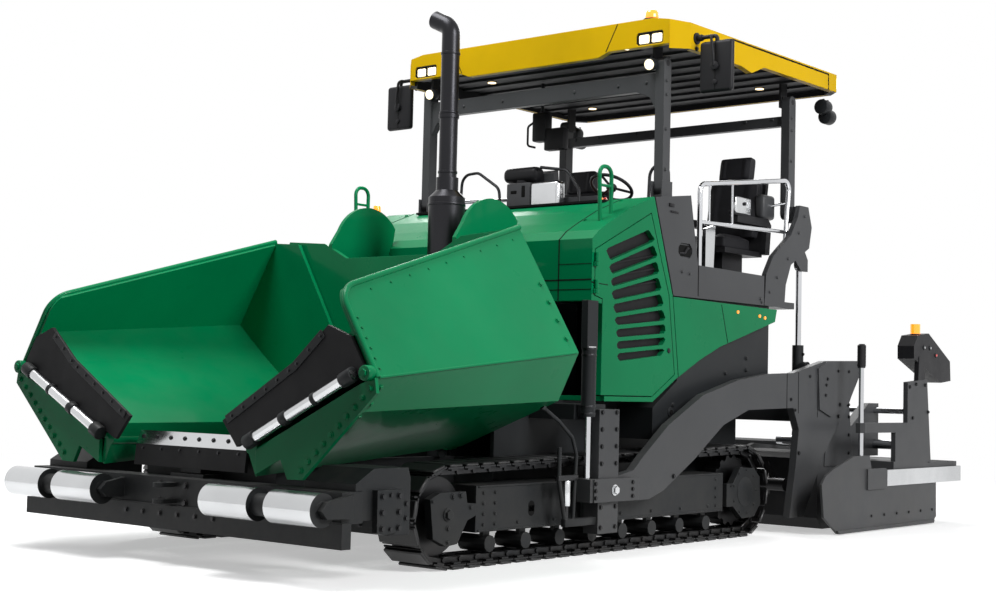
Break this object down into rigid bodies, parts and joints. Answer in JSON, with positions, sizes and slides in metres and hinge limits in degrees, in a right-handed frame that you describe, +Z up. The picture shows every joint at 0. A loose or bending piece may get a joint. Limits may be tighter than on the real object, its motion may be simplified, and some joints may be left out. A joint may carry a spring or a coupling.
{
  "type": "tracked asphalt paver with screed",
  "caption": "Tracked asphalt paver with a folding front hopper, a lowering roof over the platform, and a lifting, widening screed behind.",
  "frame": {"origin": "on the ground, under the middle of the overall length and width", "axes": "+X forward towards the hopper, +Y to the left side, +Z up"},
  "size_m": [7.592, 3.36, 3.88],
  "materials": {
    "green_paint": "gloss",
    "yellow_paint": "gloss",
    "gray_paint": "satin",
    "black_paint": "satin",
    "track_steel": "worn",
    "chrome": "polished",
    "belt_rubber": "matt",
    "seat_black": "matt",
    "amber": "gloss"
  },
  "bodies": {
    "tractor": {"chassis": "black_paint", "console": "gray_paint", "conveyor": "track_steel", "engine_block": "track_steel", "exhaust_stack": "chrome", "handrails": "chrome", "hood": "green_paint", "hopper_floor": "black_paint", "hopper_rear_wall": "green_paint", "levelling_barrels": "black_paint", "platform": "gray_paint", "post_legs": "gray_paint", "seat_cushion_left": "seat_black", "seat_cushion_right": "seat_black", "seats": "seat_black", "side_tanks": "black_paint", "tow_columns": "gray_paint", "track_frames": "black_paint", "track_left": "track_steel", "track_right": "track_steel", "track_wheels": "track_steel", "wedge_panels": "green_paint"},
    "push_beam": {"push_beam": "black_paint", "push_beam_ends": "black_paint"},
    "push_roller_left": {"push_roller_left": "chrome"},
    "push_roller_right": {"push_roller_right": "chrome"},
    "hopper_wing_left": {"hopper_wing_left": "green_paint", "hopper_flap_left": "belt_rubber"},
    "hopper_wing_right": {"hopper_wing_right": "green_paint", "hopper_flap_right": "belt_rubber"},
    "hopper_apron": {"hopper_apron": "belt_rubber"},
    "side_door_left": {"side_door_left": "green_paint"},
    "side_door_right": {"side_door_right": "green_paint"},
    "front_posts": {"front_posts": "gray_paint"},
    "rear_posts": {"rear_posts": "gray_paint"},
    "roof": {"roof": "yellow_paint", "beacon": "amber", "mirrors": "black_paint"},
    "tow_sliders": {"tow_sliders": "gray_paint"},
    "screed": {"screed_arm_left": "gray_paint", "screed_arm_right": "gray_paint", "screed": "gray_paint"},
    "screed_extension_left": {"screed_extension_left": "gray_paint"},
    "screed_extension_right": {"screed_extension_right": "gray_paint"},
    "end_gate_left": {"end_gate_left": "gray_paint"},
    "end_gate_right": {"end_gate_right": "gray_paint"},
    "auger_left": {"auger_left": "track_steel"},
    "auger_right": {"auger_right": "track_steel"},
    "lift_barrel_left": {"lift_barrel_left": "black_paint"},
    "lift_barrel_right": {"lift_barrel_right": "black_paint"},
    "lift_rod_left": {"lift_rod_left": "chrome"},
    "lift_rod_right": {"lift_rod_right": "chrome"}
  },
  "joints": [
    {"name": "push_beam_swing", "type": "hinge", "parent": "tractor", "child": "push_beam", "pos_m": [3.394, 0, 0.45], "axis": [0, 0, 1], "range_deg": [-4, 4]},
    {"name": "push_roller_left_spin", "type": "hinge", "parent": "push_beam", "child": "push_roller_left", "pos_m": [3.704, 0.95, 0.41], "axis": [0, 1, 0], "continuous": true},
    {"name": "push_roller_right_spin", "type": "hinge", "parent": "push_beam", "child": "push_roller_right", "pos_m": [3.704, -0.95, 0.41], "axis": [0, 1, 0], "continuous": true},
    {"name": "hopper_wing_left_fold", "type": "hinge", "parent": "tractor", "child": "hopper_wing_left", "pos_m": [2.679, 0.64, 0.7], "axis": [1, 0, 0], "range_deg": [0, 35]},
    {"name": "hopper_wing_right_fold", "type": "hinge", "parent": "tractor", "child": "hopper_wing_right", "pos_m": [2.679, -0.64, 0.7], "axis": [-1, 0, 0], "range_deg": [0, 35]},
    {"name": "hopper_apron_lift", "type": "hinge", "parent": "tractor", "child": "hopper_apron", "pos_m": [3.334, 0, 0.7], "axis": [0, -1, 0], "range_deg": [0, 90]},
    {"name": "side_door_left_swing", "type": "hinge", "parent": "tractor", "child": "side_door_left", "pos_m": [1.1695, 1.291, 1.85], "axis": [0, 0, -1], "range_deg": [0, 90]},
    {"name": "side_door_right_swing", "type": "hinge", "parent": "tractor", "child": "side_door_right", "pos_m": [1.1695, -1.291, 1.85], "axis": [0, 0, 1], "range_deg": [0, 90]},
    {"name": "front_posts_lower", "type": "hinge", "parent": "tractor", "child": "front_posts", "pos_m": [0.184, 0, 2.53], "axis": [0, -1, 0], "range_deg": [0, 50]},
    {"name": "rear_posts_lower", "type": "hinge", "parent": "tractor", "child": "rear_posts", "pos_m": [-1.636, 0, 2.53], "axis": [0, -1, 0], "range_deg": [0, 50]},
    {"name": "roof_level", "type": "hinge", "parent": "front_posts", "child": "roof", "pos_m": [0.184, 0, 3.43], "axis": [0, 1, 0], "range_deg": [0, 50]},
    {"name": "tow_point_lift", "type": "slide", "parent": "tractor", "child": "tow_sliders", "axis": [0, 0, 1], "range_m": [0, 0.15]},
    {"name": "screed_lift", "type": "hinge", "parent": "tow_sliders", "child": "screed", "pos_m": [0.964, 0, 0.43], "axis": [0, 1, 0], "range_deg": [0, 6]},
    {"name": "screed_extension_left_slide", "type": "slide", "parent": "screed", "child": "screed_extension_left", "axis": [0, 1, 0], "range_m": [-0.17, 0.6]},
    {"name": "screed_extension_right_slide", "type": "slide", "parent": "screed", "child": "screed_extension_right", "axis": [0, -1, 0], "range_m": [-0.17, 0.6]},
    {"name": "end_gate_left_lift", "type": "slide", "parent": "screed_extension_left", "child": "end_gate_left", "axis": [0, 0, 1], "range_m": [0, 0.15]},
    {"name": "end_gate_right_lift", "type": "slide", "parent": "screed_extension_right", "child": "end_gate_right", "axis": [0, 0, 1], "range_m": [0, 0.15]},
    {"name": "auger_left_spin", "type": "hinge", "parent": "tractor", "child": "auger_left", "pos_m": [-1.516, 0.67, 0.36], "axis": [0, 1, 0], "continuous": true},
    {"name": "auger_right_spin", "type": "hinge", "parent": "tractor", "child": "auger_right", "pos_m": [-1.516, -0.67, 0.36], "axis": [0, 1, 0], "continuous": true},
    {"name": "lift_barrel_left_tilt", "type": "hinge", "parent": "screed", "child": "lift_barrel_left", "pos_m": [-1.736, 1.185, 1.29], "axis": [0, 1, 0], "range_deg": [-16.8, 0]},
    {"name": "lift_rod_left_slide", "type": "slide", "parent": "lift_barrel_left", "child": "lift_rod_left", "axis": [0, 0, -1], "range_m": [0, 0.2676]},
    {"name": "lift_barrel_right_tilt", "type": "hinge", "parent": "screed", "child": "lift_barrel_right", "pos_m": [-1.736, -1.185, 1.29], "axis": [0, 1, 0], "range_deg": [-16.8, 0]},
    {"name": "lift_rod_right_slide", "type": "slide", "parent": "lift_barrel_right", "child": "lift_rod_right", "axis": [0, 0, -1], "range_m": [0, 0.2676]}
  ],
  "couplings": [
    {"joint": "rear_posts_lower", "follows": "front_posts_lower", "ratio": 1},
    {"joint": "roof_level", "follows": "front_posts_lower", "ratio": 1},
    {"joint": "lift_barrel_left_tilt", "follows": "screed_lift", "ratio": -2.8},
    {"joint": "lift_rod_left_slide", "follows": "screed_lift", "m_per_rad": 2.555},
    {"joint": "lift_barrel_right_tilt", "follows": "screed_lift", "ratio": -2.8},
    {"joint": "lift_rod_right_slide", "follows": "screed_lift", "m_per_rad": 2.555}
  ]
}
